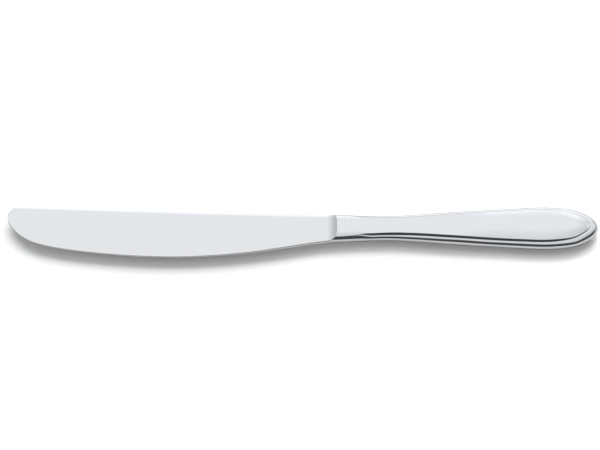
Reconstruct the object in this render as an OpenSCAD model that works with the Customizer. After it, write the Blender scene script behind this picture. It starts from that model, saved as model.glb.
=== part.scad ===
// Table knife with a hollow handle, lying on its side.
// +X runs along the knife to the butt, +Y to the back of the blade, +Z up.
// The origin is under the middle of the knife, on the surface that it lies on.

/* [Blade] */
// Length of the blade, from the tip to the crest of the bolster
blade_len = 131.4; // [110:1:150]
// How far the cutting edge bellies out below the knife's axis
edge_drop = 13; // [11:0.5:15]
// Height of the back of the blade above the axis, near the tip
back_rise = 9.4; // [8:0.2:11]
// Height of the back of the blade above the axis, at the heel
heel_rise = 5.7; // [5:0.1:6.5]
// Length of the rounded corner between the back and the tip
corner_len = 3.4; // [2:0.2:5]
// Depth of the rounded corner between the back and the tip
corner_drop = 4.8; // [3:0.2:5]
// Thickness of the blade along its back, at the heel
heel_t = 2.2; // [1.8:0.1:2.8]
// Thickness of the blade along its back, at the tip
tip_t = 1.4; // [1:0.1:1.8]
// Thickness of the blade just behind its edge, at the belly
belly_t = 0.8; // [0.5:0.05:1]
// Width over which each cheek rolls off to the back of the blade
roll_w = 2.8; // [1:0.2:4]

/* [Bolster] */
// Thickness of the neck at the crest of the bolster
neck_t = 5.6; // [5:0.1:7]
// Radius of the hollow that sweeps up from the cheek to the crest
hollow_r = 6.8; // [5:0.2:12]
// Length of the solid collar behind the crest
collar_len = 3; // [2:0.5:6]

/* [Tang] */
// Length of the tang inside the handle
tang_len = 45; // [30:1:60]
// Width of the tang at its root
tang_w = 6; // [4:0.2:7]
// Thickness of the tang at its root
tang_t = 3; // [2:0.2:3.6]

/* [Handle] */
// Length of the handle, from the crest of the bolster to the butt
handle_len = 104; // [90:1:120]
// Width of the handle at its widest place
handle_w = 18.5; // [16:0.5:21]
// Thickness of the handle at its widest place
handle_t = 8.5; // [7.5:0.1:10]
// Radius of the rounded border, where the handle is thickest
border_r = 2.8; // [2.2:0.05:3]
// Width of the border, from the side of the handle to the raised panel
border_w = 2.4; // [1.6:0.1:2.6]
// How far each side of the neck leans in, from the seam up to the crown
neck_lean = 0.5; // [0:0.1:0.8]
// Height of the small step from the border up to the panel
step_h = 0.65; // [0.1:0.05:0.7]
// Width of that step
step_w = 0.6; // [0.2:0.05:0.7]
// Length over which the crowned panel comes down to the border at the butt
crown_end_len = 6; // [4:0.5:12]

/* [Joints] */
// Thickness of the steel sheet that the two handle shells are pressed from
wall = 0.7; // [0.5:0.05:0.9]
// Thickness of the braze between the two shells
seam_t = 0.2; // [0.1:0.05:0.4]
// Thickness of the braze between the bolster and the shells
bolster_braze_t = 0.2; // [0.1:0.05:0.4]

/* [Hidden] */

// Cutting edge from the tip to the heel, as [share of blade_len, share of edge_drop].
// The first and last points only steer the ends of the curve.
edge_shares = [
    [0.0075, 0.5], [0, 0.3], [0.0075, 0.1], [0.026, -0.135], [0.05, -0.335],
    [0.09, -0.53], [0.16, -0.7], [0.26, -0.845], [0.38, -0.955], [0.5, -1],
    [0.61, -0.965], [0.725, -0.865], [0.825, -0.715], [0.9, -0.59], [0.955, -0.51],
    [1, -0.466], [1.05, -0.44]
];
// Place of the deepest belly, as a share of blade_len
belly_share = 0.5;
// How quickly the back of the blade drops from the tip to the heel
back_power = 1.34;

// Side of the handle from the crest to the butt, as [share of handle_len, share of half of handle_w].
// The first and last points only steer the ends of the curve, and the first steps are even.
side_pitch_share = 0.1;
side_shares = [
    [-0.1, 0.72], [0, 0.655], [0.1, 0.598], [0.2, 0.578], [0.3, 0.64], [0.4, 0.732],
    [0.5, 0.815], [0.6, 0.885], [0.7, 0.955], [0.785, 1], [0.85, 0.968], [0.91, 0.862],
    [0.955, 0.645], [0.987, 0.37], [1, 0], [0.987, -0.37]
];
// Width of the border along the handle, as [share of handle_len, share of border_w]
border_shares = [
    [0, 0.415], [0.06, 0.44], [0.09, 0.57], [0.125, 0.76], [0.2, 0.85], [0.3, 0.96], [0.4, 1],
    [0.5, 1], [0.62, 0.98], [0.75, 1.02], [0.82, 1.06], [0.9, 1.12], [0.95, 1.22], [1, 1.3]
];
// Size of the step along the handle, as [share of handle_len, share of step_h and step_w]: the neck has none
step_shares = [
    [0, 0.05], [0.085, 0.1], [0.105, 0.55], [0.13, 1.05], [0.25, 1.25], [0.45, 1.2], [0.62, 1.1],
    [0.82, 1.08], [0.9, 0.72], [0.965, 0.36], [1, 0.12]
];
// Height of the rounded border along the handle, as [share of handle_len, share of its height if round]
corner_shares = [[0, 1], [0.1, 1], [0.16, 1.07], [0.45, 1.07], [0.6, 0.92], [0.91, 0.92], [0.96, 1], [1, 1]];
// Where the neck's section starts to turn into the handle's and where it has, as shares of handle_len
box_from_share = 0.08;
box_to_share = 0.14;
// Width and height of the neck's corners, as shares of the border's radius there, and how square they are
corner_w_share = 1.355;
corner_h_share = 1.474;
corner_power = 2;
// How flat the crown of the panel is, on the neck and on the handle
neck_crown_power = 3.6;
crown_power = 2.1;
// How much further in the step lies on the inner side of the sheet, as a share of its thickness
inner_step_share = 0.5;
// Where the handle is thickest, as a share of handle_len
thickest_share = 0.785;
// Size of the tang at its end, as a share of its size at the root
tang_end_share = 0.6;
// The blunt edge is rounded: its width, as a share of half the blade's thickness there, and its cuts in degrees
nose_share = 1;
nose_turns = [20, 45, 68];
// Greatest width of the rounded edge and of the roll, as shares of the blade's width near the tip
nose_limit_share = 0.1;
roll_limit_share = 0.3;
// A point on the roll: how far in from the back, and how thick, and the thickness at the back
roll_mid_share = 0.35;
roll_mid_t_share = 0.77;
back_t_share = 0.46;

// How finely the curves are cut
curve_cuts = 2;
arc_cuts = 4;
panel_cuts = 4;
panel_cut_power = 1.45; // above 1 the panel's cuts lie closer together towards its edge
hollow_cuts = 6;

rib_half = arc_cuts + 1 + panel_cuts; // points in a rib before its middle one
rib_last = 2 * rib_half;
cheek_cuts = rib_last - 2 - len(nose_turns);
edge_end = len(edge_shares) - 3;
side_end = len(side_shares) - 3;
side_pitch = side_pitch_share * handle_len;
collar_at = collar_len / side_pitch; // place along the side curve
mouth_at = (collar_len + bolster_braze_t) / side_pitch;
hollow_rise = (neck_t - heel_t) / 2;
hollow_len = sqrt(2 * hollow_r * hollow_rise - hollow_rise * hollow_rise);

// A smooth curve through points, cut at t, and the way it runs there
function bend(p, t) = let (i = min(floor(t), len(p) - 4), u = t - i)
    (2 * p[i + 1] + u * (p[i + 2] - p[i]) + u * u * (2 * p[i] - 5 * p[i + 1] + 4 * p[i + 2] - p[i + 3])
    + u * u * u * (3 * p[i + 1] - p[i] - 3 * p[i + 2] + p[i + 3])) / 2;
function heading(p, t) = let (i = min(floor(t), len(p) - 4), u = t - i)
    (p[i + 2] - p[i] + 2 * u * (2 * p[i] - 5 * p[i + 1] + 4 * p[i + 2] - p[i + 3])
    + 3 * u * u * (3 * p[i + 1] - p[i] - 3 * p[i + 2] + p[i + 3])) / 2;
function ease(u) = let (v = max(0, min(1, u))) v * v * (3 - 2 * v);
function mix(a, b, u) = a + (b - a) * u;
function backwards(list) = [for (i = [len(list) - 1:-1:0]) list[i]];
function flip_y(points) = [for (p = points) [p.x, -p.y, p.z]];
function flip_z(points) = [for (p = points) [p.x, p.y, -p.z]];

// Sizes of the handle at a distance from the crest
function border_at(x) = border_w * lookup(x / handle_len, border_shares);
function step_at(x) = lookup(x / handle_len, step_shares);
function crown_at(x) = mix(neck_t, handle_t, ease(x / (thickest_share * handle_len))) / 2;
function box_at(x) = 1 - ease((x / handle_len - box_from_share) / (box_to_share - box_from_share));
// The border is a quarter of a rounded shape: its width, its height and its power, where 2 is round
function corner_at(x) = let (radius = border_r * crown_at(x) * 2 / handle_t, box = box_at(x))
    [radius * mix(1, corner_w_share, box),
        radius * mix(1, corner_h_share, box) * lookup(x / handle_len, corner_shares),
        mix(2, corner_power, box)];
function border_z(corner, d) =
    corner.y * pow(1 - pow(max(0, 1 - d / corner.x), corner.z), 1 / corner.z);

side_points = [for (p = side_shares) [p.x * handle_len, p.y * handle_w / 2]];
edge_points = [for (p = edge_shares) [p.x * blade_len - blade_len, p.y * edge_drop]];

// Half a rib of the handle at place t of its side curve: up the border, over the step, across the panel.
// inset moves the whole rib inwards, for the inner side of the sheet.
function half_rib(t, inset) =
    let (
        at = bend(side_points, t),
        way = heading(side_points, t),
        out = [-way.y, way.x] / norm(way),
        corner = corner_at(at.x),
        border = border_at(at.x),
        step = step_at(at.x),
        foot = border - step * step_w,
        wide = corner.x - inset,
        tall = corner.y - inset,
        low = asin(pow(seam_t / 2 / tall, corner.z / 2)),
        high = acos(pow(max(0, 1 - foot / corner.x), corner.z / 2)),
        lean = neck_lean * box_at(at.x),
        panel = at - (border + lean * border_z(corner, border) / corner.y + inset * inner_step_share) * out,
        panel_z = border_z(corner, border) + step * step_h,
        tip_x = handle_len - border_at(handle_len),
        crown = (crown_at(panel.x) - panel_z) * sin(90 * max(0, min(1, (tip_x - panel.x) / crown_end_len))),
        power = mix(crown_power, neck_crown_power, box_at(at.x))
    )
    concat(
        [for (k = [0:arc_cuts]) let (
            a = mix(low, high, k / arc_cuts),
            rise = pow(sin(a), 2 / corner.z),
            d = corner.x - wide * pow(cos(a), 2 / corner.z) + lean * rise
        ) [at.x - d * out.x, at.y - d * out.y, tall * rise]],
        [for (k = [0:panel_cuts]) let (s = 1 - pow(k / panel_cuts, panel_cut_power))
            [panel.x, max(0, panel.y) * s, panel_z + crown * (1 - pow(s, power)) - inset]]
    );

// A whole rib from the near side to the far side, and the ring that it makes with its mirror image
function rib(t, inset) = let (half = half_rib(t, inset))
    concat(flip_y(half), [for (k = [rib_half - 1:-1:0]) half[k]]);
function ring(rib_points) = concat(rib_points, backwards(flip_z(rib_points)));

// Places along the side curve where the handle is cut, and the ones before its very end
side_cuts = concat([mouth_at], [for (k = [curve_cuts:side_end * curve_cuts - 1]) k / curve_cuts]);
// Points of a rib at the butt, where its two halves are one and its panel is a point
function butt_rib(inset) = let (half = half_rib(side_end, inset))
    [for (k = [0:arc_cuts + 1]) [half[k].x, 0, half[k].z]];
function butt_index(j) = min(j, rib_last - j, arc_cuts + 1);

// Half the blade's thickness: a flat cheek through three places of known thickness
cheek_heel = [0, heel_rise, heel_t / 2];
cheek_tip = [-blade_len, back_rise, tip_t / 2];
cheek_belly = [(belly_share - 1) * blade_len, -edge_drop, belly_t / 2];
cheek_normal = cross(cheek_tip - cheek_heel, cheek_belly - cheek_heel);
function cheek_z(x, y) =
    cheek_heel.z - (cheek_normal.x * (x - cheek_heel.x) + cheek_normal.y * (y - cheek_heel.y)) / cheek_normal.z;
function back_y(x) =
    let (v = max(0, 1 - (x + blade_len) / corner_len))
    mix(heel_rise, back_rise, pow(max(0, -x / blade_len), back_power))
    - corner_drop * (1 - sqrt(1 - v * v));

// A rib of the blade from its edge to its back
function blade_rib(x, low) =
    let (
        high = back_y(x),
        nose = min(cheek_z(x, low) * nose_share, nose_limit_share * (high - low)),
        roll = min(roll_w, roll_limit_share * (high - low)),
        start = low + nose,
        end = high - roll,
        mid = high - roll * roll_mid_share
    )
    concat(
        [for (a = nose_turns) [x, a == nose_turns[0] ? low : low + nose * (1 - cos(a)), cheek_z(x, start) * sin(a)]],
        [for (k = [0:cheek_cuts]) let (y = mix(start, end, k / cheek_cuts)) [x, y, cheek_z(x, y)]],
        [[x, mid, cheek_z(x, mid) * roll_mid_t_share], [x, high, cheek_z(x, high) * back_t_share]]
    );

// Ribs of the hollow: the blade's rib spreads into the neck's, under a round hollow
neck_rib = rib(0, 0);
neck_profile = [for (p = neck_rib) [p.y, p.z]];
function hollow_rib(u) =
    let (
        x = hollow_len * (u - 1),
        thin = blade_rib(x, lookup(x, blade_cuts)),
        lift = (hollow_r - sqrt(hollow_r * hollow_r - pow(x + hollow_len, 2))) / hollow_rise,
        middle = (thin[0].y + thin[rib_last].y) / 2,
        half = (thin[rib_last].y - thin[0].y) / 2
    )
    [for (j = [0:rib_last]) let (
        y = mix(thin[j].y, neck_rib[j].y, ease(u)),
        neck_y = (y - mix(middle, 0, ease(u))) / mix(half, neck_rib[rib_last].y, ease(u)) * neck_rib[rib_last].y
    ) [x, y, max(thin[j].z, min(mix(thin[j].z, neck_t / 2, lift), lookup(neck_y, neck_profile)))]];

// The tang has the neck's section, drawn in
collar_ring = ring(rib(collar_at, 0));
collar_inner_ring = ring(rib(collar_at, wall));
collar_half_w = bend(side_points, collar_at).y;
function tang_ring(share, x) = [for (p = collar_ring)
    [x, p.y * share * tang_w / 2 / collar_half_w, p.z * share * tang_t / neck_t]];
tang_root_ring = tang_ring(1, collar_len);
tang_end_ring = tang_ring(tang_end_share, collar_len + tang_len);

// Closed skins: rings of points, joined by strips of triangles
function strip(p, q) = [for (k = [0:len(p) - 1]) let (n = (k + 1) % len(p))
    for (face = [[p[k], q[n], p[n]], [p[k], q[k], q[n]]])
        if (face[0] != face[1] && face[1] != face[2] && face[2] != face[0]) face];
function loop_index(i, count) = [for (k = [0:count - 1]) i * count + k];
function strips(rings, count) = [for (i = [0:rings - 2]) each strip(loop_index(i, count), loop_index(i + 1, count))];
function joined(lists) = [for (list = lists) each list];

blade_cuts = [for (k = [0:edge_end * curve_cuts]) bend(edge_points, k / curve_cuts)];
widest_y = max([for (k = [0:side_end * curve_cuts]) bend(side_points, k / curve_cuts).y]);
highest_y = max(widest_y, max([for (p = blade_cuts) back_y(p.x)]));
lowest_y = min(-widest_y, min([for (p = blade_cuts) p.y]));

// From the knife's own axis to the frame of the part
module place() {
    translate([(blade_len - handle_len) / 2, -(highest_y + lowest_y) / 2, handle_t / 2]) children();
}

module blade() {
    rings = concat(
        [for (p = blade_cuts) if (p.x < -hollow_len) ring(blade_rib(p.x, p.y))],
        [for (k = [0:hollow_cuts - 1]) ring(hollow_rib(k / hollow_cuts))],
        [ring(neck_rib), collar_ring, collar_inner_ring, tang_root_ring, tang_end_ring]
    );
    count = len(collar_ring);
    color([0.88, 0.89, 0.9]) place()
        polyhedron(
            joined(rings),
            concat([loop_index(0, count)], strips(len(rings), count),
                [backwards(loop_index(len(rings) - 1, count))])
        );
}

module bolster_braze() {
    rings = [collar_ring, ring(rib(mouth_at, 0)), ring(rib(mouth_at, wall)), collar_inner_ring];
    count = len(collar_ring);
    color([0.83, 0.83, 0.8]) place()
        polyhedron(
            joined(rings),
            concat(strips(len(rings), count), strip(loop_index(len(rings) - 1, count), loop_index(0, count)))
        );
}

// One pressed half of the handle, with its open side down
module shell() {
    cuts = [for (t = side_cuts) concat(rib(t, 0), backwards(rib(t, wall)))];
    count = 2 * (rib_last + 1);
    last = len(cuts) - 1;
    butt = len(cuts) * count;
    butt_loop = concat(
        [for (j = [0:rib_last]) butt + butt_index(j)],
        [for (j = [rib_last:-1:0]) butt + arc_cuts + 2 + butt_index(j)]
    );
    mouth = [for (j = [0:rib_last - 1]) each [[j, j + 1, count - 2 - j], [j, count - 2 - j, count - 1 - j]]];
    polyhedron(
        concat(joined(cuts), butt_rib(0), butt_rib(wall)),
        concat(mouth, strips(len(cuts), count), strip(loop_index(last, count), butt_loop))
    );
}

module handle_shell_upper() {
    color([0.9, 0.91, 0.92]) place() shell();
}

module handle_shell_lower() {
    color([0.86, 0.87, 0.88]) place() mirror([0, 0, 1]) shell();
}

module handle_seam_braze() {
    function edge_line(inset) = concat([for (t = side_cuts) half_rib(t, inset)[0]], [butt_rib(inset)[0]]);
    function both_sides(line) = concat(
        [for (p = line) [p.x, -p.y]],
        [for (k = [len(line) - 2:-1:0]) [line[k].x, line[k].y]]
    );
    color([0.8, 0.8, 0.77]) place()
        translate([0, 0, -seam_t / 2])
            linear_extrude(seam_t)
                polygon(concat(both_sides(edge_line(0)), backwards(both_sides(edge_line(wall)))));
}

module handle_filler() {
    rings = concat(
        [tang_end_ring, tang_root_ring, collar_inner_ring],
        [for (t = side_cuts) ring(rib(t, wall))]
    );
    count = len(collar_ring);
    butt = len(rings) * count;
    butt_loop = concat(
        [for (j = [0:rib_last]) butt + butt_index(j)],
        [for (j = [rib_last:-1:0]) butt + arc_cuts + 2 + butt_index(j)]
    );
    color([0.62, 0.6, 0.55]) place()
        polyhedron(
            concat(joined(rings), butt_rib(wall), flip_z(butt_rib(wall))),
            concat([loop_index(0, count)], strips(len(rings), count),
                strip(loop_index(len(rings) - 1, count), butt_loop))
        );
}

blade();
bolster_braze();
handle_shell_upper();
handle_shell_lower();
handle_seam_braze();
handle_filler();
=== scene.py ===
import math
import bpy
import numpy as np
from mathutils import Matrix, Vector


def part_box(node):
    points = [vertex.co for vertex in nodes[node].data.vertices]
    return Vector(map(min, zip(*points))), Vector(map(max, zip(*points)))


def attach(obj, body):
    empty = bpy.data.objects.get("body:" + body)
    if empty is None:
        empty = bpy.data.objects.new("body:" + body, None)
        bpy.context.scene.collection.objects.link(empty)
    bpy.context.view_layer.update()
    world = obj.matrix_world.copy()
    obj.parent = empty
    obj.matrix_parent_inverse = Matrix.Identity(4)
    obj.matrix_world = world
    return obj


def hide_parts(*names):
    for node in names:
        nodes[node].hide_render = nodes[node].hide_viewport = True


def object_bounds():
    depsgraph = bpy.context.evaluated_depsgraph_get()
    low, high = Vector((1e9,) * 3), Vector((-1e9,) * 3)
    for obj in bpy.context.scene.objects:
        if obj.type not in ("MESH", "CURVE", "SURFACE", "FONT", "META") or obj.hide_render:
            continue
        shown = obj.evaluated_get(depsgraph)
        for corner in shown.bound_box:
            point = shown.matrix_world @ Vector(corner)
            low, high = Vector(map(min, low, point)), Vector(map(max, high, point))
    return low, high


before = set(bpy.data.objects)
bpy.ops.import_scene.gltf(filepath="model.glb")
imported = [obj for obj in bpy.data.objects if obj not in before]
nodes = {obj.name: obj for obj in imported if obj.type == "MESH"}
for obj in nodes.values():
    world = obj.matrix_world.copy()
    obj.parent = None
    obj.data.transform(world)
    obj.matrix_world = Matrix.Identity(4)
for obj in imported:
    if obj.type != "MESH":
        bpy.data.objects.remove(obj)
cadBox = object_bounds()
millimetre = 0.001

# The knife is drawn about its own axis, with the crest of the bolster at zero, and then put in place
knife = {
    "bladeLength": 131.4,
    "handleLength": 104.0,
    "handleWidth": 18.5,
    "handleThickness": 8.5,
    "neckThickness": 5.6,
}


# A smooth curve through points, and the way it runs
def curvePoint(points, t):
    i = int(min(max(math.floor(t), 0), len(points) - 4))
    u = t - i
    a, b, c, d = (np.array(p, float) for p in points[i:i + 4])
    return (2 * b + u * (c - a) + u * u * (2 * a - 5 * b + 4 * c - d) + u ** 3 * (3 * b - a - 3 * c + d)) / 2


def curveHeading(points, t):
    i = int(min(max(math.floor(t), 0), len(points) - 4))
    u = t - i
    a, b, c, d = (np.array(p, float) for p in points[i:i + 4])
    return (c - a + 2 * u * (2 * a - 5 * b + 4 * c - d) + 3 * u * u * (3 * b - a - 3 * c + d)) / 2


def ease(u):
    v = max(0.0, min(1.0, u))
    return v * v * (3 - 2 * v)


def mix(a, b, u):
    return a + (b - a) * u


# A value between the rows of a table, without corners at the rows
def softLookup(x, table):
    xs = [row[0] for row in table]
    ys = [row[1] for row in table]
    if x <= xs[0]:
        return ys[0]
    if x >= xs[-1]:
        return ys[-1]
    slopes = [(ys[k + 1] - ys[k]) / (xs[k + 1] - xs[k]) for k in range(len(xs) - 1)]
    tangents = [0.0] + [
        0.0 if a * b <= 0 else 2 * a * b / (a + b) for a, b in zip(slopes, slopes[1:])
    ] + [0.0]
    k = max(i for i in range(len(xs) - 1) if xs[i] <= x)
    span = xs[k + 1] - xs[k]
    u = (x - xs[k]) / span
    return (ys[k] * (1 + 2 * u) * (1 - u) ** 2 + tangents[k] * span * u * (1 - u) ** 2
            + ys[k + 1] * u * u * (3 - 2 * u) + tangents[k + 1] * span * u * u * (u - 1))


# How near points of a mesh are joined, and the angle that leaves no corner sharp
joinDistance = 0.002 * millimetre
slimDistance = 0.001 * millimetre
mirrorDistance = 0.005 * millimetre
smoothAll = 180


# Lays a grid primitive on rows of points, in millimetres, and leaves it selected and active
def layGrid(name, rows):
    rows = np.array(rows, float)
    bpy.ops.object.select_all(action="DESELECT")
    bpy.ops.mesh.primitive_grid_add(x_subdivisions=rows.shape[1] - 1, y_subdivisions=rows.shape[0] - 1,
                                    size=knife["handleWidth"] * millimetre)
    piece = bpy.context.active_object
    piece.name = name
    piece.data.name = name
    flat = np.zeros(len(piece.data.vertices) * 3)
    piece.data.vertices.foreach_get("co", flat)
    flat = flat.reshape(-1, 3)
    order = np.lexsort((flat[:, 0].round(7), flat[:, 1].round(7)))
    flat[order] = rows.reshape(-1, 3) * millimetre
    piece.data.vertices.foreach_set("co", flat.reshape(-1))
    piece.data.update()
    return piece


def addModifier(piece, kind, **settings):
    modifier = piece.modifiers.new(kind.title(), kind)
    for key, value in settings.items():
        setattr(modifier, key, value)
    bpy.ops.object.modifier_apply(modifier=modifier.name)


# Closes doubled points, turns every face outwards and smooths all but the sharp corners
def finishMesh(piece, sharpAngle):
    bpy.ops.object.mode_set(mode="EDIT")
    bpy.ops.mesh.select_all(action="SELECT")
    bpy.ops.mesh.remove_doubles(threshold=joinDistance)
    bpy.ops.mesh.dissolve_degenerate(threshold=slimDistance)
    bpy.ops.mesh.normals_make_consistent(inside=False)
    bpy.ops.object.mode_set(mode="OBJECT")
    bpy.ops.object.shade_smooth_by_angle(angle=math.radians(sharpAngle))


# From the knife's own axis to the frame: the CAD pieces say where it lies
shellLow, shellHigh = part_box("handle_shell_upper")
buttX = shellHigh[0]
axisY = (shellLow[1] + shellHigh[1]) / 2
axisZ = knife["handleThickness"] / 2 * millimetre
placing = Matrix.Translation((buttX - knife["handleLength"] * millimetre, axisY, axisZ))


def putInPlace(piece, node, material):
    piece.data.transform(placing)
    piece.data.materials.clear()
    piece.data.materials.append(material)
    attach(piece, "root")
    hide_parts(node)
    print("made", piece.name, len(piece.data.polygons), "faces")


# Materials
polish = {
    "lineDetail": 4.0,
    "scratchTurns": ((14.0, 0.0), (-31.0, 3.7)),     # degrees, and a shift that sets the two apart
    "scratchStretch": (0.22, 1.0, 0.5),
    "scratchWidth": 0.006,
    "patchScale": 170.0,        # scratches show only where this noise is high
    "patchFrom": 0.55,
    "patchTo": 0.7,
    "smearDetail": 3.0,
    "smearDistortion": 0.6,
    "smearShow": 0.35,
    "lineLow": 0.3,
    "lineHigh": 0.7,
    "bumpDepth": 0.002,         # mm
}


# Fine lines from the polishing wheel, stray scratches and faint wiping marks, as numbers for any metal
def buildPolishMarks():
    group = bpy.data.node_groups.new("polishMarks", "ShaderNodeTree")
    ask = group.interface.new_socket
    inputs = {"lineDensity": 5000.0, "lineLength": 250.0, "scratchScale": 90.0, "smearScale": 45.0}
    for name, default in inputs.items():
        ask(name=name, in_out="INPUT", socket_type="NodeSocketFloat").default_value = default
    for name in ("lines", "scratches", "smears"):
        ask(name=name, in_out="OUTPUT", socket_type="NodeSocketFloat")
    make = group.nodes.new
    link = group.links.new
    given = make("NodeGroupInput")
    result = make("NodeGroupOutput")
    place = make("ShaderNodeTexCoord").outputs["Object"]

    stretch = make("ShaderNodeCombineXYZ")
    link(given.outputs["lineLength"], stretch.inputs["X"])
    link(given.outputs["lineDensity"], stretch.inputs["Y"])
    link(given.outputs["lineDensity"], stretch.inputs["Z"])
    lay = make("ShaderNodeVectorMath")
    lay.operation = "MULTIPLY"
    link(place, lay.inputs[0])
    link(stretch.outputs[0], lay.inputs[1])
    lines = make("ShaderNodeTexNoise")
    lines.inputs["Scale"].default_value = 1.0
    lines.inputs["Detail"].default_value = polish["lineDetail"]
    link(lay.outputs[0], lines.inputs["Vector"])
    link(lines.outputs["Fac"], result.inputs["lines"])

    # Two sets of long thin cells at different angles: only a few of their edges show as scratches
    total = None
    for angle, shift in polish["scratchTurns"]:
        turn = make("ShaderNodeMapping")
        turn.inputs["Rotation"].default_value = (0.0, 0.0, math.radians(angle))
        turn.inputs["Location"].default_value = (shift, 0.0, 0.0)
        turn.inputs["Scale"].default_value = polish["scratchStretch"]
        link(place, turn.inputs["Vector"])
        cells = make("ShaderNodeTexVoronoi")
        cells.feature = "DISTANCE_TO_EDGE"
        link(turn.outputs[0], cells.inputs["Vector"])
        link(given.outputs["scratchScale"], cells.inputs["Scale"])
        thin = make("ShaderNodeMapRange")
        thin.inputs["From Min"].default_value = 0.0
        thin.inputs["From Max"].default_value = polish["scratchWidth"]
        thin.inputs["To Min"].default_value = 1.0
        thin.inputs["To Max"].default_value = 0.0
        link(cells.outputs["Distance"], thin.inputs["Value"])
        patch = make("ShaderNodeTexNoise")
        patch.inputs["Scale"].default_value = polish["patchScale"]
        link(turn.outputs[0], patch.inputs["Vector"])
        some = make("ShaderNodeMapRange")
        some.inputs["From Min"].default_value = polish["patchFrom"]
        some.inputs["From Max"].default_value = polish["patchTo"]
        link(patch.outputs["Fac"], some.inputs["Value"])
        both = make("ShaderNodeMath")
        both.operation = "MULTIPLY"
        link(thin.outputs[0], both.inputs[0])
        link(some.outputs[0], both.inputs[1])
        if total is None:
            total = both
        else:
            joined = make("ShaderNodeMath")
            joined.operation = "MAXIMUM"
            link(total.outputs[0], joined.inputs[0])
            link(both.outputs[0], joined.inputs[1])
            total = joined
    link(total.outputs[0], result.inputs["scratches"])

    smears = make("ShaderNodeTexNoise")
    smears.inputs["Detail"].default_value = polish["smearDetail"]
    smears.inputs["Distortion"].default_value = polish["smearDistortion"]
    link(place, smears.inputs["Vector"])
    link(given.outputs["smearScale"], smears.inputs["Scale"])
    link(smears.outputs["Fac"], result.inputs["smears"])
    return group


polishMarks = buildPolishMarks()


def polishedMetal(name, settings):
    material = bpy.data.materials.new(name)
    material.use_nodes = True
    make = material.node_tree.nodes.new
    link = material.node_tree.links.new
    shader = material.node_tree.nodes["Principled BSDF"]
    shader.inputs["Metallic"].default_value = 1.0
    marks = make("ShaderNodeGroup")
    marks.node_tree = polishMarks
    for key in ("lineDensity", "lineLength", "scratchScale", "smearScale"):
        marks.inputs[key].default_value = settings[key]

    # Colour: the steel's own grey, a little duller in the scratches and the smears
    tint = make("ShaderNodeMix")
    tint.data_type = "RGBA"
    tint.inputs["A"].default_value = (*settings["colour"], 1.0)
    tint.inputs["B"].default_value = (*settings["dullColour"], 1.0)
    dull = make("ShaderNodeMath")
    dull.operation = "MULTIPLY_ADD"
    dull.inputs[1].default_value = polish["smearShow"]
    link(marks.outputs["smears"], dull.inputs[0])
    scratchPart = make("ShaderNodeMath")
    scratchPart.operation = "MULTIPLY"
    scratchPart.inputs[1].default_value = settings["scratchShow"]
    link(marks.outputs["scratches"], scratchPart.inputs[0])
    link(scratchPart.outputs[0], dull.inputs[2])
    link(dull.outputs[0], tint.inputs["Factor"])
    link(tint.outputs["Result"], shader.inputs["Base Color"])

    # Roughness: the polish, broken up by the lines, the smears and the scratches
    rough = settings["roughness"]
    fromLines = make("ShaderNodeMapRange")
    fromLines.inputs["From Min"].default_value = polish["lineLow"]
    fromLines.inputs["From Max"].default_value = polish["lineHigh"]
    fromLines.inputs["To Min"].default_value = rough - settings["lineRoughness"]
    fromLines.inputs["To Max"].default_value = rough + settings["lineRoughness"]
    link(marks.outputs["lines"], fromLines.inputs["Value"])
    fromSmears = make("ShaderNodeMath")
    fromSmears.operation = "MULTIPLY_ADD"
    fromSmears.inputs[1].default_value = settings["smearRoughness"]
    link(marks.outputs["smears"], fromSmears.inputs[0])
    link(fromLines.outputs[0], fromSmears.inputs[2])
    link(fromSmears.outputs[0], shader.inputs["Roughness"])

    bump = make("ShaderNodeBump")
    bump.inputs["Strength"].default_value = settings["bump"]
    bump.inputs["Distance"].default_value = polish["bumpDepth"] * millimetre
    height = make("ShaderNodeMath")
    height.operation = "SUBTRACT"
    link(marks.outputs["lines"], height.inputs[0])
    link(marks.outputs["scratches"], height.inputs[1])
    link(height.outputs[0], bump.inputs["Height"])
    link(bump.outputs[0], shader.inputs["Normal"])
    return material


bladeSteel = polishedMetal("bladeSteel", {
    "colour": (0.690, 0.697, 0.707), "dullColour": (0.655, 0.664, 0.676), "roughness": 0.09,
    "lineRoughness": 0.015, "smearRoughness": 0.03, "scratchShow": 0.4, "bump": 0.25,
    "lineDensity": 6000.0, "lineLength": 300.0, "scratchScale": 95.0, "smearScale": 40.0,
})
handleSteel = polishedMetal("handleSteel", {
    "colour": (0.690, 0.699, 0.712), "dullColour": (0.652, 0.664, 0.680), "roughness": 0.07,
    "lineRoughness": 0.012, "smearRoughness": 0.03, "scratchShow": 0.5, "bump": 0.2,
    "lineDensity": 7000.0, "lineLength": 260.0, "scratchScale": 110.0, "smearScale": 55.0,
})
brazeMetal = polishedMetal("brazeMetal", {
    "colour": (0.670, 0.672, 0.665), "dullColour": (0.620, 0.622, 0.610), "roughness": 0.12,
    "lineRoughness": 0.02, "smearRoughness": 0.04, "scratchShow": 0.5, "bump": 0.3,
    "lineDensity": 6000.0, "lineLength": 600.0, "scratchScale": 130.0, "smearScale": 90.0,
})


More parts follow.
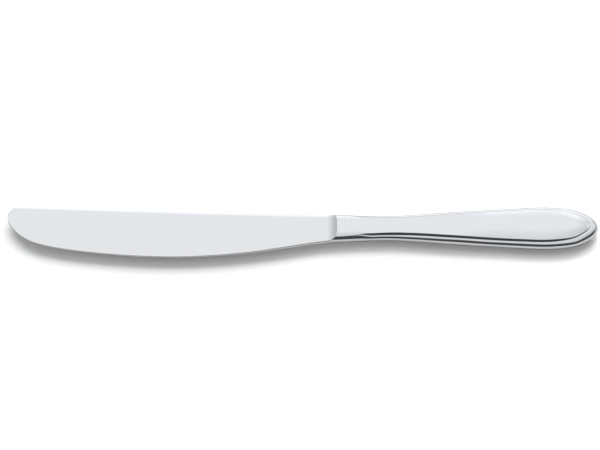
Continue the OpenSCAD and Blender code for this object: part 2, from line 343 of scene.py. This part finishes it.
# Set cement: a dull grained filler with grit and small air holes
def cementMaterial(name, settings):
    material = bpy.data.materials.new(name)
    material.use_nodes = True
    make = material.node_tree.nodes.new
    link = material.node_tree.links.new
    shader = material.node_tree.nodes["Principled BSDF"]
    place = make("ShaderNodeTexCoord").outputs["Object"]
    grit = make("ShaderNodeTexNoise")
    grit.inputs["Scale"].default_value = settings["gritScale"]
    grit.inputs["Detail"].default_value = settings["gritDetail"]
    link(place, grit.inputs["Vector"])
    holes = make("ShaderNodeTexVoronoi")
    holes.inputs["Scale"].default_value = settings["holeScale"]
    link(place, holes.inputs["Vector"])
    colours = make("ShaderNodeMix")
    colours.data_type = "RGBA"
    colours.inputs["A"].default_value = (*settings["darkColour"], 1.0)
    colours.inputs["B"].default_value = (*settings["paleColour"], 1.0)
    link(grit.outputs["Fac"], colours.inputs["Factor"])
    link(colours.outputs["Result"], shader.inputs["Base Color"])
    shader.inputs["Roughness"].default_value = settings["roughness"]
    bump = make("ShaderNodeBump")
    bump.inputs["Strength"].default_value = settings["bump"]
    bump.inputs["Distance"].default_value = settings["holeDepth"] * millimetre
    link(holes.outputs["Distance"], bump.inputs["Height"])
    link(bump.outputs[0], shader.inputs["Normal"])
    return material


handleCement = cementMaterial("handleCement", {
    "darkColour": (0.20, 0.185, 0.155), "paleColour": (0.36, 0.34, 0.30),
    "gritScale": 1500.0, "gritDetail": 6.0, "holeScale": 700.0, "holeDepth": 0.1, "bump": 0.6,
    "roughness": 0.85,
})
print("materials are ready")

# The handle: a drop-ended outline, a rounded border, a small step and a crowned panel
handle = {
    "sidePitch": 10.4,          # the first steps of the outline are even, in mm
    "sideShares": [
        (-0.1, 0.72), (0, 0.655), (0.1, 0.598), (0.2, 0.578), (0.3, 0.64), (0.4, 0.732),
        (0.5, 0.815), (0.6, 0.885), (0.7, 0.955), (0.785, 1), (0.85, 0.968), (0.91, 0.862),
        (0.955, 0.645), (0.987, 0.37), (1, 0), (0.987, -0.37),
    ],
    "borderRadius": 2.8,        # where the handle is thickest
    "borderWidth": 2.4,
    "borderShares": [
        (0, 0.415), (0.06, 0.44), (0.09, 0.57), (0.125, 0.76), (0.2, 0.85), (0.3, 0.96), (0.4, 1),
        (0.5, 1), (0.62, 0.98), (0.75, 1.02), (0.82, 1.06), (0.9, 1.12), (0.95, 1.22), (1, 1.3),
    ],
    "stepHeight": 0.65,
    "stepWidth": 0.6,
    "stepShares": [
        (0, 0.05), (0.085, 0.1), (0.105, 0.55), (0.13, 1.05), (0.25, 1.25), (0.45, 1.2), (0.62, 1.1),
        (0.82, 1.08), (0.9, 0.72), (0.965, 0.36), (1, 0.12),
    ],
    "boxFrom": 0.08,            # the neck's fuller corner gives way to the plain one from here to there
    "boxTo": 0.14,
    "cornerWidthShare": 1.355,
    "cornerHeightShare": 1.474,
    "cornerPower": 2,
    "cornerShares": [
        (0, 1), (0.1, 1), (0.16, 1.07), (0.45, 1.07), (0.6, 0.92), (0.91, 0.92), (0.96, 1), (1, 1),
    ],
    "neckLean": 0.5,
    "neckCrownPower": 3.6,
    "crownPower": 2.1,
    "thickestAt": 81.64,
    "crownEndLength": 6.0,
    "wall": 0.7,
    "seam": 0.2,
    "collarLength": 3.0,
    "bolsterBraze": 0.2,
    "arcPoints": 16,
    "stepCuts": [0.03, 0.08, 0.5, 0.92, 0.97],
    "panelEdgeCut": 0.992,
    "panelPoints": 22,
    "cutsPerPoint": 14,
    "leastCut": 0.02,           # a cut nearer to the mouth than this share of a pitch is left out
    "sharpAngle": 50,
    "brazeSharpAngle": 40,
}
sidePoints = [(x * knife["handleLength"], w * knife["handleWidth"] / 2) for x, w in handle["sideShares"]]
sideEnd = len(sidePoints) - 3


def halfThickness(x):
    return mix(knife["neckThickness"], knife["handleThickness"], ease(x / handle["thickestAt"])) / 2


def boxAt(x):
    return 1 - ease((x / knife["handleLength"] - handle["boxFrom"]) / (handle["boxTo"] - handle["boxFrom"]))


# The border is a quarter of a rounded shape: its width, its height and its power, where 2 is round
def cornerAt(x):
    radius = handle["borderRadius"] * halfThickness(x) * 2 / knife["handleThickness"]
    box = boxAt(x)
    wide = radius * mix(1, handle["cornerWidthShare"], box)
    tall = radius * mix(1, handle["cornerHeightShare"], box)
    tall *= softLookup(x / knife["handleLength"], handle["cornerShares"])
    return wide, tall, mix(2, handle["cornerPower"], box)


def borderHeight(corner, d):
    wide, tall, power = corner
    return tall * (1 - max(0.0, 1 - d / wide) ** power) ** (1 / power)


# Half a rib: up the rounded border, over the step and across the panel to the middle line
def halfRib(t, lift):
    at = curvePoint(sidePoints, t)
    way = curveHeading(sidePoints, t)
    out = np.array((-way[1], way[0])) / np.hypot(*way)
    corner = cornerAt(at[0])
    wide, tall, power = corner
    border = handle["borderWidth"] * softLookup(at[0] / knife["handleLength"], handle["borderShares"])
    step = softLookup(at[0] / knife["handleLength"], handle["stepShares"])
    foot = border - step * handle["stepWidth"]
    footZ = borderHeight(corner, foot)
    lean = handle["neckLean"] * boxAt(at[0])
    panel = at - (border + lean * borderHeight(corner, border) / tall) * out
    panelZ = borderHeight(corner, border) + step * handle["stepHeight"]
    tipX = knife["handleLength"] - handle["borderWidth"] * handle["borderShares"][-1][1]
    end = math.sin(math.pi / 2 * max(0, min(1, (tipX - panel[0]) / handle["crownEndLength"])))
    crown = (halfThickness(panel[0]) - panelZ) * end
    crownPower = mix(handle["crownPower"], handle["neckCrownPower"], boxAt(at[0]))
    low = math.asin((lift / tall) ** (power / 2))
    high = math.acos(max(0.0, 1 - foot / wide) ** (power / 2))
    points = []
    for k in range(handle["arcPoints"] + 1):
        angle = mix(low, high, k / handle["arcPoints"])
        share = math.sin(angle) ** (2 / power)
        d = wide * (1 - math.cos(angle) ** (2 / power)) + lean * share
        points.append((at[0] - d * out[0], at[1] - d * out[1], tall * share))
    for u in handle["stepCuts"]:
        d = mix(foot, border, u) + lean * footZ / tall
        points.append((at[0] - d * out[0], at[1] - d * out[1], mix(footZ, panelZ, u)))
    panelCuts = [1 - k / handle["panelPoints"] for k in range(handle["panelPoints"] + 1)]
    panelCuts.insert(1, handle["panelEdgeCut"])
    for s in panelCuts:
        points.append((panel[0], max(0.0, panel[1]) * s, panelZ + crown * (1 - s ** crownPower)))
    return [(x, max(0.0, y), z) for x, y, z in points]


collarAt = handle["collarLength"] / handle["sidePitch"]
mouthAt = (handle["collarLength"] + handle["bolsterBraze"]) / handle["sidePitch"]
sideCuts = [mouthAt] + [
    k / handle["cutsPerPoint"] for k in range(sideEnd * handle["cutsPerPoint"] + 1)
    if k / handle["cutsPerPoint"] > mouthAt + handle["leastCut"]
]


def makeUpperShell():
    piece = layGrid("handleShellUpper", [halfRib(t, handle["seam"] / 2) for t in sideCuts])
    finishMesh(piece, smoothAll)
    addModifier(piece, "MIRROR", use_axis=(False, True, False), merge_threshold=mirrorDistance)
    addModifier(piece, "SOLIDIFY", thickness=handle["wall"] * millimetre, offset=-1.0)
    finishMesh(piece, handle["sharpAngle"])
    return piece


upperShell = makeUpperShell()
bpy.ops.object.duplicate()
lowerShell = bpy.context.active_object
lowerShell.name = "handleShellLower"
lowerShell.data.transform(Matrix.Diagonal((1.0, 1.0, -1.0, 1.0)))
finishMesh(lowerShell, handle["sharpAngle"])
putInPlace(upperShell, "handle_shell_upper", handleSteel)
putInPlace(lowerShell, "handle_shell_lower", handleSteel)


# The braze between the shells: a thin band that follows their outline, flush with it
def makeSeamBraze():
    rows = []
    for t in sideCuts:
        x, y, z = halfRib(t, handle["seam"] / 2)[0]
        way = curveHeading(sidePoints, t)
        out = np.array((-way[1], way[0])) / np.hypot(*way)
        inner = (x - handle["wall"] * out[0], max(0.0, y - handle["wall"] * out[1]), z)
        rows.append([(x, y, z), inner])
    piece = layGrid("handleSeamBraze", rows)
    finishMesh(piece, smoothAll)
    addModifier(piece, "MIRROR", use_axis=(False, True, False), merge_threshold=mirrorDistance)
    addModifier(piece, "SOLIDIFY", thickness=handle["seam"] * millimetre, offset=-1.0)
    finishMesh(piece, handle["brazeSharpAngle"])
    return piece


putInPlace(makeSeamBraze(), "handle_seam_braze", brazeMetal)


# The braze between the bolster's collar and the mouth of the handle
def makeBolsterBraze():
    piece = layGrid("bolsterBraze", [halfRib(collarAt, 0), halfRib(mouthAt, 0)])
    finishMesh(piece, smoothAll)
    addModifier(piece, "MIRROR", use_axis=(False, True, True), merge_threshold=mirrorDistance)
    finishMesh(piece, smoothAll)
    addModifier(piece, "SOLIDIFY", thickness=handle["wall"] * millimetre, offset=-1.0)
    finishMesh(piece, handle["brazeSharpAngle"])
    return piece


putInPlace(makeBolsterBraze(), "bolster_braze", brazeMetal)

# The blade, with its bolster, collar and tang in one
blade = {
    "edgeDrop": 13.0,
    "backRise": 9.4,
    "heelRise": 5.7,
    "cornerLength": 3.4,
    "cornerDrop": 4.8,
    "backPower": 1.34,
    "edgeShares": [
        (0.0075, 0.5), (0, 0.3), (0.0075, 0.1), (0.026, -0.135), (0.05, -0.335),
        (0.09, -0.53), (0.16, -0.7), (0.26, -0.845), (0.38, -0.955), (0.5, -1),
        (0.61, -0.965), (0.725, -0.865), (0.825, -0.715), (0.9, -0.59), (0.955, -0.51),
        (1, -0.466), (1.05, -0.44),
    ],
    "heelThickness": 2.2,
    "tipThickness": 1.4,
    "bellyThickness": 0.8,
    "bellyAt": 0.5,
    "edgeSlope": 63.0,          # degrees: how steep the facets along the blunt edge are
    "facetShare": 0.6,          # their height, as a share of half the thickness there
    "rollWidth": 2.8,
    "backThicknessShare": 0.46,
    "backRound": 0.15,
    "backRoundFrom": 18.0,      # degrees: how far the roll has turned where the rounding takes over
    "hollowRadius": 6.8,
    "tangLength": 45.0,
    "tangWidth": 6.0,
    "tangThickness": 3.0,
    "tangEndShare": 0.6,
    "cutsPerPoint": 10,
    "hollowCuts": 30,
    "collarCuts": 6,
    "edgeSamples": 40,
    "noseLimit": 0.1,           # the most of the width that the edge and the roll may take
    "rollLimit": 0.3,
    "leastCut": 0.02,           # mm
    "sharpAngle": 24,
}
edgePoints = [
    (x * knife["bladeLength"] - knife["bladeLength"], y * blade["edgeDrop"]) for x, y in blade["edgeShares"]
]
edgeEnd = len(edgePoints) - 3
edgeLine = [
    curvePoint(edgePoints, k / blade["edgeSamples"]) for k in range(edgeEnd * blade["edgeSamples"] + 1)
]
edgeXs = [p[0] for p in edgeLine]
edgeYs = [p[1] for p in edgeLine]
hollowRise = (knife["neckThickness"] - blade["heelThickness"]) / 2
hollowLength = math.sqrt(2 * blade["hollowRadius"] * hollowRise - hollowRise ** 2)

# The cheek is a plane through three places of known thickness
cheekHeel = np.array((0, blade["heelRise"], blade["heelThickness"] / 2))
cheekTip = np.array((-knife["bladeLength"], blade["backRise"], blade["tipThickness"] / 2))
bellyX = (blade["bellyAt"] - 1) * knife["bladeLength"]
cheekBelly = np.array((bellyX, -blade["edgeDrop"], blade["bellyThickness"] / 2))
cheekNormal = np.cross(cheekTip - cheekHeel, cheekBelly - cheekHeel)


def cheekHeight(x, y):
    fall = cheekNormal[0] * (x - cheekHeel[0]) + cheekNormal[1] * (y - cheekHeel[1])
    return cheekHeel[2] - fall / cheekNormal[2]


def backHeight(x):
    v = max(0.0, 1 - (x + knife["bladeLength"]) / blade["cornerLength"])
    share = max(0.0, -x / knife["bladeLength"]) ** blade["backPower"]
    straight = mix(blade["heelRise"], blade["backRise"], share)
    return straight - blade["cornerDrop"] * (1 - math.sqrt(max(0.0, 1 - v * v)))


neckHalf = halfRib(0, 0)
neckRib = [(x, -y, z) for x, y, z in neckHalf] + [neckHalf[k] for k in range(len(neckHalf) - 2, -1, -1)]
ribCount = len(neckRib)
neckYs = [p[1] for p in neckRib]
neckZs = [p[2] for p in neckRib]
bladeCounts = {"facet": 3, "nose": 11, "roll": 16, "round": 5, "back": 4}


# A rib of the blade from the middle of its edge, over the cheek, to the middle of its back
def bladeRib(x, low):
    high = backHeight(x)
    slope = math.radians(blade["edgeSlope"])
    facet = blade["facetShare"]
    roundness = (1 - facet) / (1 - math.cos(slope))
    noseShare = facet / math.tan(slope) + roundness * math.sin(slope)
    nose = min(cheekHeight(x, low) * noseShare, blade["noseLimit"] * (high - low))
    roll = min(blade["rollWidth"], blade["rollLimit"] * (high - low))
    points = [(x, low, 0.0)]
    for k in range(1, bladeCounts["nose"]):
        if k <= bladeCounts["facet"]:
            height = facet * k / bladeCounts["facet"]
            inward = height / math.tan(slope)
        else:
            turn = slope * (1 - (k - bladeCounts["facet"]) / (bladeCounts["nose"] - bladeCounts["facet"]))
            height = 1 - roundness * (1 - math.cos(turn))
            inward = noseShare - roundness * math.sin(turn)
        points.append((x, low + nose * inward / noseShare, cheekHeight(x, low + nose) * height))
    cheekCount = ribCount - len(points) - bladeCounts["roll"] - bladeCounts["round"] - bladeCounts["back"]
    for k in range(cheekCount):
        y = mix(low + nose, high - roll, k / (cheekCount - 1))
        points.append((x, y, cheekHeight(x, y)))
    rounding = blade["backRound"] * min(1, roll / blade["rollWidth"])
    start = math.radians(blade["backRoundFrom"])
    rollEnd = high - rounding * (1 - math.sin(start))
    for k in range(1, bladeCounts["roll"] + 1):
        y = mix(high - roll, rollEnd, k / bladeCounts["roll"])
        s = (y - high + roll) / roll
        points.append((x, y, cheekHeight(x, y) * (1 - (1 - blade["backThicknessShare"]) * s * s)))
    centre = points[-1][2] - rounding * math.cos(start)
    for k in range(1, bladeCounts["round"] + 1):
        turn = mix(start, math.pi / 2, k / bladeCounts["round"])
        points.append((x, high - rounding * (1 - math.sin(turn)), centre + rounding * math.cos(turn)))
    for k in range(1, bladeCounts["back"] + 1):
        points.append((x, high, centre * (1 - k / bladeCounts["back"])))
    return points


# A rib of the hollow, where the blade's rib spreads into the neck's
def hollowRib(u):
    x = hollowLength * (u - 1)
    thin = bladeRib(x, float(np.interp(x, edgeXs, edgeYs)))
    radius = blade["hollowRadius"]
    lift = (radius - math.sqrt(radius ** 2 - (x + hollowLength) ** 2)) / hollowRise
    middle = (thin[0][1] + thin[-1][1]) / 2
    half = (thin[-1][1] - thin[0][1]) / 2
    points = []
    for j in range(ribCount):
        y = mix(thin[j][1], neckYs[j], ease(u))
        share = (y - mix(middle, 0, ease(u))) / mix(half, neckYs[-1], ease(u))
        neckZ = float(np.interp(share * neckYs[-1], neckYs, neckZs))
        top = mix(thin[j][2], knife["neckThickness"] / 2, lift)
        z = max(thin[j][2], min(top, neckZ)) if 0 < j < ribCount - 1 else 0.0
        points.append((x, y, z))
    return points


def wholeRib(t):
    half = halfRib(t, 0)
    return [(x, -y, z) for x, y, z in half] + [half[k] for k in range(len(half) - 2, -1, -1)]


def makeBlade():
    perPoint = blade["cutsPerPoint"]
    cuts = [curvePoint(edgePoints, k / perPoint) for k in range(edgeEnd * perPoint + 1)]
    tip = bladeRib(*cuts[0])
    rows = [[(x, y, 0.0) for x, y, z in tip]]
    rows += [bladeRib(x, y) for x, y in cuts if x < -hollowLength - blade["leastCut"]]
    rows += [hollowRib(k / blade["hollowCuts"]) for k in range(blade["hollowCuts"])]
    rows += [wholeRib(collarAt * k / blade["collarCuts"]) for k in range(blade["collarCuts"] + 1)]
    collar = rows[-1]
    halfWidth = collar[-1][1]
    tangEnd = handle["collarLength"] + blade["tangLength"]
    for share, x in ((1.0, handle["collarLength"]), (blade["tangEndShare"], tangEnd)):
        wide = share * blade["tangWidth"] / 2 / halfWidth
        thick = share * blade["tangThickness"] / knife["neckThickness"]
        rows.append([(x, p[1] * wide, p[2] * thick) for p in collar])
    rows.append([(x, y, 0.0) for x, y, z in rows[-1]])
    piece = layGrid("blade", rows)
    finishMesh(piece, smoothAll)
    addModifier(piece, "MIRROR", use_axis=(False, False, True), merge_threshold=mirrorDistance)
    finishMesh(piece, blade["sharpAngle"])
    return piece


putInPlace(makeBlade(), "blade", bladeSteel)

# The cement inside keeps its CAD shape
filler = nodes["handle_filler"]
filler.data.materials.clear()
filler.data.materials.append(handleCement)
print("the knife is made")

# Stage: a plain pale floor that takes the knife's shadow
stage = {
    "floorSize": 6.0,
    "floorColour": 0.5,
    "mirroredColour": 0.3,     # the floor as the polished steel sees it: painted darker, as shade in its reflections
}
bpy.ops.object.select_all(action="DESELECT")
bpy.ops.mesh.primitive_plane_add(size=stage["floorSize"], location=(0, 0, cadBox[0][2]))
floor = bpy.context.active_object
floor.name = "floor"
floorPaint = bpy.data.materials.new("floorPaint")
floorPaint.use_nodes = True
paint = floorPaint.node_tree.nodes["Principled BSDF"]
# Glossy rays get the darker mirrored colour: painted shade on the floor as the steel reflects it, while the
# camera sees the plain pale floor
floorPath = floorPaint.node_tree.nodes.new("ShaderNodeLightPath")
floorTone = floorPaint.node_tree.nodes.new("ShaderNodeMix")
floorTone.data_type = "RGBA"
floorTone.inputs["A"].default_value = (stage["floorColour"],) * 3 + (1.0,)
floorTone.inputs["B"].default_value = (stage["mirroredColour"],) * 3 + (1.0,)
floorPaint.node_tree.links.new(floorPath.outputs["Is Glossy Ray"], floorTone.inputs["Factor"])
floorPaint.node_tree.links.new(floorTone.outputs["Result"], paint.inputs["Base Color"])
paint.inputs["Roughness"].default_value = 1.0
paint.inputs["Specular IOR Level"].default_value = 0.0
floor.data.materials.append(floorPaint)

# Light: a wide round soft light overhead, leaning back, in a dark room with brighter walls behind, high
# in front and past both ends of the knife. A soft key light from behind throws the shadow forwards
tent = {
    "lean": 25.0,
    "cap": [                    # degrees from the middle of the light, brightness, tint
        (0.0, 1.14, (0.995, 1.0, 1.005)), (8.0, 1.14, (0.995, 1.0, 1.005)),
        (16.0, 1.085, (0.98, 1.0, 1.02)),
        (22.0, 1.035, (0.975, 1.0, 1.025)), (28.0, 0.985, (0.97, 1.0, 1.03)),
        (34.0, 0.94, (0.97, 1.0, 1.03)),
        (41.0, 0.885, (0.97, 1.0, 1.03)), (47.0, 0.81, (0.97, 1.0, 1.03)), (54.0, 0.725, (0.98, 1.0, 1.02)),
        (61.0, 0.64, (0.98, 1.0, 1.02)), (66.0, 0.45, (0.99, 1.0, 1.01)), (70.0, 0.2, (0.99, 1.0, 1.01)),
        (74.0, 0.085, (1.0, 1.0, 1.0)), (100.0, 0.07, (1.0, 1.0, 1.0)),
        (117.0, 0.07, (1.0, 1.0, 1.0)), (140.0, 0.5, (1.0, 1.0, 1.0)), (180.0, 0.65, (1.0, 1.0, 1.0)),
    ],
    "wall": [                   # how far back a direction points, brightness
        (0.469, 0.0), (0.643, 0.04), (0.766, 0.16), (0.829, 0.31), (0.866, 0.42), (0.906, 0.48),
        (0.94, 0.56), (0.97, 0.7), (1.0, 1.1),
    ],
    "frontWall": [              # how far forwards a direction points, brightness
        (0.1, 0.0), (0.208, 0.03), (0.375, 0.13), (0.53, 0.25), (0.616, 0.36), (0.66, 0.4), (0.695, 0.34),
        (0.743, 0.15), (0.79, 0.0),
    ],
    "frontFrom": 0.5,           # the front wall shows only this high up
    "frontTo": 0.66,
    "endWallPlace": (0.87, 0.35, 0.35),     # past the butt
    "endWall": [(0.87, 0.0), (0.93, 0.16), (1.0, 0.35)],
    # Past the tip of the blade
    "sideWall": [(0.82, 0.0), (0.845, 0.16), (0.86, 0.33), (0.878, 0.52), (0.9, 0.53), (1.0, 0.5)],
    "key": {"elevation": 45.0, "distance": 1.2, "long": 1.8, "high": 0.8, "power": 36.5},
    "lamps": {"count": 5, "lowest": 53.0, "highest": 85.0, "distance": 1.0, "aimX": 0.1, "cone": 13.7,
              "radius": 0.065, "power": 5.0},
    "fill": {"elevation": 155.0, "spread": 70.0, "strength": 1.95},
}
world = bpy.data.worlds.new("tentLight")
bpy.context.scene.world = world
world.use_nodes = True
make = world.node_tree.nodes.new
link = world.node_tree.links.new
background = world.node_tree.nodes["Background"]
direction = make("ShaderNodeTexCoord").outputs["Generated"]


# A colour ramp through brightnesses, and its output scaled back up
def brightnessRamp(source, rows):
    top = max(row[1] for row in rows)
    ramp = make("ShaderNodeValToRGB")
    elements = ramp.color_ramp.elements
    while len(elements) < len(rows):
        elements.new(1.0)
    for element, row in zip(elements, rows):
        tint = row[2] if len(row) > 2 else (1.0, 1.0, 1.0)
        element.position = row[0]
        element.color = tuple(row[1] / top * part for part in tint) + (1.0,)
    link(source, ramp.inputs[0])
    scaled = make("ShaderNodeVectorMath")
    scaled.operation = "SCALE"
    scaled.inputs["Scale"].default_value = top
    link(ramp.outputs["Color"], scaled.inputs[0])
    return scaled.outputs[0]


lean = math.radians(tent["lean"])
toMiddle = make("ShaderNodeVectorMath")
toMiddle.operation = "DOT_PRODUCT"
toMiddle.inputs[1].default_value = (0.0, math.sin(lean), math.cos(lean))
link(direction, toMiddle.inputs[0])
angle = make("ShaderNodeMath")
angle.operation = "ARCCOSINE"
link(toMiddle.outputs["Value"], angle.inputs[0])
angleShare = make("ShaderNodeMath")
angleShare.operation = "DIVIDE"
angleShare.inputs[1].default_value = math.pi
link(angle.outputs[0], angleShare.inputs[0])
cap = brightnessRamp(angleShare.outputs[0], [(row[0] / 180, row[1], row[2]) for row in tent["cap"]])
split = make("ShaderNodeSeparateXYZ")
link(direction, split.inputs[0])
wall = brightnessRamp(split.outputs["Y"], tent["wall"])
toFront = make("ShaderNodeMath")
toFront.operation = "MULTIPLY"
toFront.inputs[1].default_value = -1.0
link(split.outputs["Y"], toFront.inputs[0])
frontPart = brightnessRamp(toFront.outputs[0], tent["frontWall"])
highUp = make("ShaderNodeMapRange")
highUp.interpolation_type = "SMOOTHSTEP"
highUp.inputs["From Min"].default_value = tent["frontFrom"]
highUp.inputs["From Max"].default_value = tent["frontTo"]
link(split.outputs["Z"], highUp.inputs["Value"])
frontWall = make("ShaderNodeVectorMath")
frontWall.operation = "SCALE"
link(frontPart, frontWall.inputs[0])
link(highUp.outputs[0], frontWall.inputs["Scale"])
toEnd = make("ShaderNodeVectorMath")
toEnd.operation = "DOT_PRODUCT"
toEnd.inputs[1].default_value = tent["endWallPlace"]
link(direction, toEnd.inputs[0])
endWall = brightnessRamp(toEnd.outputs["Value"], tent["endWall"])
toBlade = make("ShaderNodeMath")
toBlade.operation = "MULTIPLY"
toBlade.inputs[1].default_value = -1.0
link(split.outputs["X"], toBlade.inputs[0])
sideWall = brightnessRamp(toBlade.outputs[0], tent["sideWall"])
walls = make("ShaderNodeVectorMath")
walls.operation = "ADD"
link(wall, walls.inputs[0])
link(sideWall, walls.inputs[1])
allWalls = make("ShaderNodeVectorMath")
allWalls.operation = "ADD"
link(walls.outputs[0], allWalls.inputs[0])
link(frontWall.outputs[0], allWalls.inputs[1])
withEnd = make("ShaderNodeVectorMath")
withEnd.operation = "ADD"
link(allWalls.outputs[0], withEnd.inputs[0])
link(endWall, withEnd.inputs[1])
both = make("ShaderNodeVectorMath")
both.operation = "ADD"
link(cap, both.inputs[0])
link(withEnd.outputs[0], both.inputs[1])
path = make("ShaderNodeLightPath")
shown = make("ShaderNodeMix")
shown.data_type = "RGBA"
link(path.outputs["Is Camera Ray"], shown.inputs["Factor"])
link(both.outputs[0], shown.inputs["A"])
shown.inputs["B"].default_value = (1.0, 1.0, 1.0, 1.0)
link(shown.outputs["Result"], background.inputs["Color"])
background.inputs["Strength"].default_value = 1.0

key = tent["key"]
keyTurn = math.radians(key["elevation"] - 90)
keyPlace = Vector((0, math.sin(-keyTurn), math.cos(keyTurn))) * key["distance"]
bpy.ops.object.light_add(type="AREA", location=keyPlace, rotation=(keyTurn, 0, 0))
keyLight = bpy.context.active_object
keyLight.name = "keyLight"
keyLight.data.shape = "RECTANGLE"
keyLight.data.size = key["long"]
keyLight.data.size_y = key["high"]
keyLight.data.energy = key["power"]
keyLight.visible_glossy = False

# Small lamps over the handle, in an arc: they lighten the far side of its shadow
lamps = tent["lamps"]
for k in range(lamps["count"]):
    lampTurn = math.radians(mix(lamps["lowest"], lamps["highest"], k / (lamps["count"] - 1)) - 90)
    lampWay = Vector((0, math.sin(-lampTurn), math.cos(lampTurn)))
    lampPlace = lampWay * lamps["distance"] + Vector((lamps["aimX"], 0, 0))
    bpy.ops.object.light_add(type="SPOT", location=lampPlace, rotation=(lampTurn, 0, 0))
    lamp = bpy.context.active_object
    lamp.name = "lamp" + str(k + 1)
    lamp.data.energy = lamps["power"]
    lamp.data.spot_size = math.radians(lamps["cone"])
    lamp.data.spot_blend = 1.0
    lamp.data.shadow_soft_size = lamps["radius"]
    lamp.visible_glossy = False

fill = tent["fill"]
bpy.ops.object.light_add(type="SUN", rotation=(math.radians(fill["elevation"] - 90), 0, 0))
fillLight = bpy.context.active_object
fillLight.name = "fillLight"
fillLight.data.energy = fill["strength"]
fillLight.data.angle = math.radians(fill["spread"])
fillLight.visible_glossy = False

# Camera: a long lens from in front, 62 degrees up
view = {
    "elevation": 62.0,
    "distance": 1.5,
    "pixelSize": 0.3986,        # mm on the knife's middle plane
    "imageWidth": 600,
    "middleX": 116.6,           # mm from the tip to the middle of the picture
    "middleUp": 1.4,            # mm from the knife's axis up to the middle of the picture
    "sensorWidth": 36.0,
    "clipStart": 0.05,
    "clipEnd": 20.0,
}
elevation = math.radians(view["elevation"])
upward = Vector((0, math.sin(elevation), math.cos(elevation)))
tipToMiddle = Vector(((view["middleX"] - knife["bladeLength"]) * millimetre, 0, 0))
axisPoint = Vector(placing.translation) + tipToMiddle
target = axisPoint + upward * view["middleUp"] * millimetre
cameraData = bpy.data.cameras.new("camera")
camera = bpy.data.objects.new("camera", cameraData)
bpy.context.scene.collection.objects.link(camera)
camera.location = target + Vector((0, -math.cos(elevation), math.sin(elevation))) * view["distance"]
camera.rotation_euler = (math.pi / 2 - elevation, 0, 0)
cameraData.sensor_width = view["sensorWidth"]
shownWidth = view["imageWidth"] * view["pixelSize"] * millimetre
cameraData.lens = cameraData.sensor_width * view["distance"] / shownWidth
cameraData.clip_start = view["clipStart"]
cameraData.clip_end = view["clipEnd"]
bpy.context.scene.camera = camera
bpy.context.scene.view_settings.view_transform = "Standard"
print("stage, light and camera are ready")
